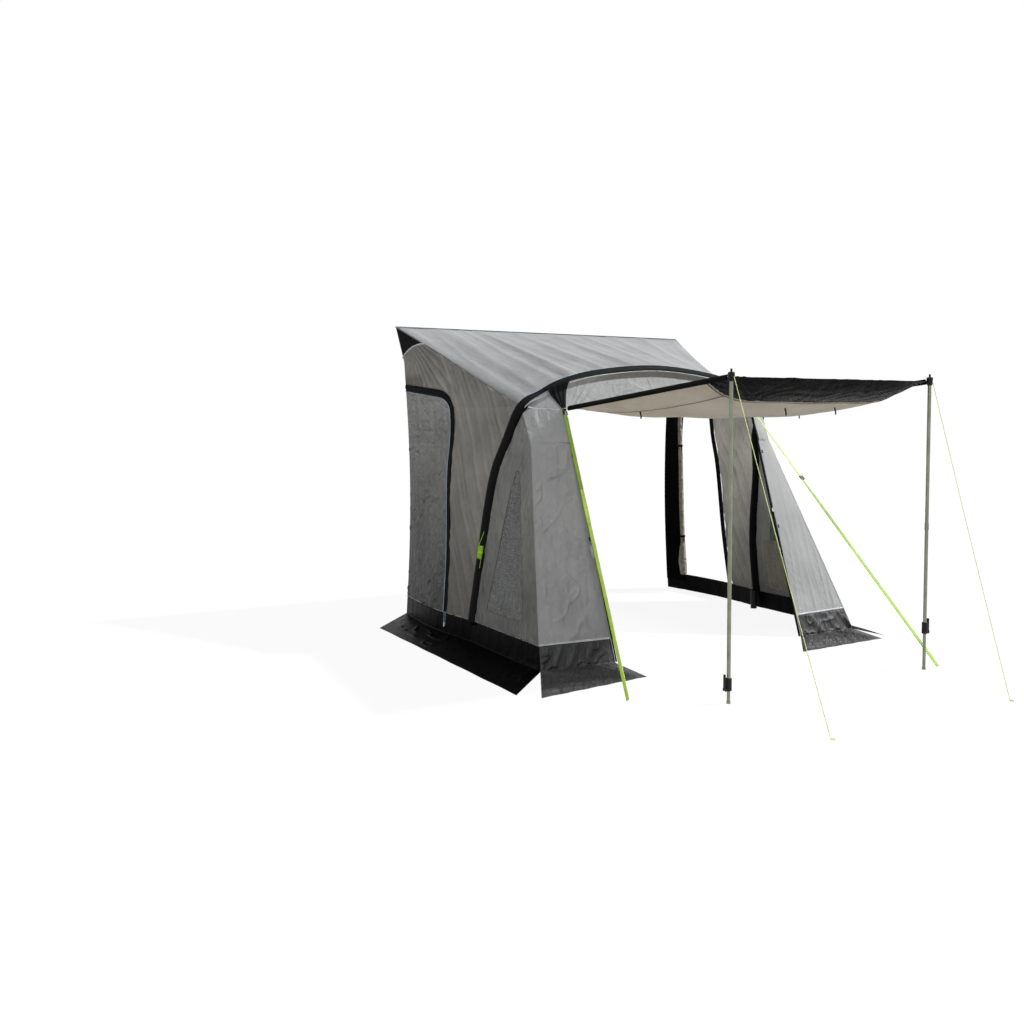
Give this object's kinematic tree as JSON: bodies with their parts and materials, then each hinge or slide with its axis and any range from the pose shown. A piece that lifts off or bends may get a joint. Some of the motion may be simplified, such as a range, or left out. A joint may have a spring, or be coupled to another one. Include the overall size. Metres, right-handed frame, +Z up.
{
  "type": "caravan porch awning",
  "caption": "Inflatable porch awning with rail bead, arched air beam, side doors, mud walls, ground flaps, poles and a propped canopy.",
  "frame": {"origin": "on the ground, at the middle of the footprint without its guy lines and storm straps", "axes": "+X along the caravan, +Y towards the caravan's wall, +Z up"},
  "size_m": [3.484, 4.0626, 2.3381],
  "materials": {
    "roof_cloth": "light cool grey coated polyester",
    "side_cloth": "taupe grey coated polyester",
    "front_cloth": "grey coated polyester",
    "mud_cloth": "black wipe-clean mud wall cloth, part gloss",
    "band_cloth": "glossy black coated cloth",
    "sleeve_cloth": "black woven sleeve",
    "webbing_black": "black webbing and zip tape",
    "window_mesh": "dark fly mesh",
    "blind_cloth": "beige lining",
    "bladder_film": "clear film",
    "black_plastic": "moulded, fine grain",
    "zip_metal": "plated zip slider",
    "pole_steel": "olive grey steel tube",
    "strap_green": "bright green webbing",
    "guy_cord": "pale yellow green cord"
  },
  "bodies": {
    "awning": {"roof_panel": "roof_cloth", "rail_bead": "webbing_black", "roll_tie_upper": "webbing_black", "roll_tie_lower": "webbing_black", "header_panel": "front_cloth", "canopy_sheet": "front_cloth", "beam_sleeve": "sleeve_cloth", "air_bladder": "bladder_film", "beam_foot_left": "black_plastic", "beam_foot_right": "black_plastic", "inflation_valve": "black_plastic", "canopy_band": "band_cloth", "side_wall_left": "side_cloth", "side_front_panel_left": "side_cloth", "rail_gusset_left": "webbing_black", "door_zip_band_left": "webbing_black", "draught_strip_left": "webbing_black", "front_zip_tape_left": "webbing_black", "arch_gusset_left": "webbing_black", "side_window_left": "window_mesh", "side_mud_wall_left": "mud_cloth", "front_mud_wall_left": "mud_cloth", "front_panel_left": "front_cloth", "corner_buckle_left": "black_plastic", "pole_head_left": "black_plastic", "clamp_body_left": "black_plastic", "storm_strap_left": "strap_green", "pole_tube_left": "pole_steel", "guy_line_left": "guy_cord", "side_wall_right": "side_cloth", "side_front_panel_right": "side_cloth", "rail_gusset_right": "webbing_black", "door_zip_band_right": "webbing_black", "draught_strip_right": "webbing_black", "front_zip_tape_right": "webbing_black", "arch_gusset_right": "webbing_black", "side_window_right": "window_mesh", "side_mud_wall_right": "mud_cloth", "front_mud_wall_right": "mud_cloth", "front_panel_right": "front_cloth", "corner_buckle_right": "black_plastic", "pole_head_right": "black_plastic", "clamp_body_right": "black_plastic", "storm_strap_right": "strap_green", "pole_tube_right": "pole_steel", "guy_line_right": "guy_cord", "rolled_door_right": "side_cloth", "ladder_buckle_right": "black_plastic", "window_blind_right": "blind_cloth", "guy_hank": "strap_green"},
    "foot_left": {"foot_tube_left": "pole_steel"},
    "lever_left": {"cam_lever_left": "black_plastic"},
    "door_slider_left": {"door_zip_slider_left": "zip_metal"},
    "front_slider_left": {"front_zip_slider_left": "zip_metal"},
    "foot_right": {"foot_tube_right": "pole_steel"},
    "lever_right": {"cam_lever_right": "black_plastic"},
    "door_slider_right": {"door_zip_slider_right": "zip_metal"},
    "front_slider_right": {"front_zip_slider_right": "zip_metal"},
    "door": {"door_panel_left": "side_cloth"},
    "cap": {"valve_cap": "black_plastic"}
  },
  "joints": [
    {"name": "foot_tube_left", "type": "slide", "parent": "awning", "child": "foot_left", "axis": [0, 0, -1], "range_m": [-0.03, 0.45]},
    {"name": "cam_lever_left", "type": "hinge", "parent": "awning", "child": "lever_left", "pos_m": [-0.8133, -1.66, 0.081], "axis": [0, -1, 0], "range_deg": [0, 150]},
    {"name": "door_zip_slider_left", "type": "slide", "parent": "awning", "child": "door_slider_left", "axis": [0.106, 0.0792, 0.9912], "range_m": [0, 0.454]},
    {"name": "front_zip_slider_left", "type": "slide", "parent": "awning", "child": "front_slider_left", "axis": [-0.0183, 0.3316, 0.9433], "range_m": [-1.214, 0.403]},
    {"name": "foot_tube_right", "type": "slide", "parent": "awning", "child": "foot_right", "axis": [0, 0, -1], "range_m": [-0.03, 0.45]},
    {"name": "cam_lever_right", "type": "hinge", "parent": "awning", "child": "lever_right", "pos_m": [0.8133, -1.66, 0.237], "axis": [0, 1, 0], "range_deg": [0, 150]},
    {"name": "door_zip_slider_right", "type": "slide", "parent": "awning", "child": "door_slider_right", "axis": [-0.106, 0.0792, 0.9912], "range_m": [0, 0.454]},
    {"name": "front_zip_slider_right", "type": "slide", "parent": "awning", "child": "front_slider_right", "axis": [0.0183, 0.3316, 0.9433], "range_m": [-0.917, 0.7]},
    {"name": "door_panel_left", "type": "hinge", "parent": "awning", "child": "door", "pos_m": [-1.29, 1.679, 0.935], "axis": [0, 0, -1], "range_deg": [0, 92]},
    {"name": "valve_cap", "type": "hinge", "parent": "awning", "child": "cap", "pos_m": [-1.2294, 0.44703, 0.42], "axis": [1, 0, 0], "range_deg": [0, 270]}
  ]
}
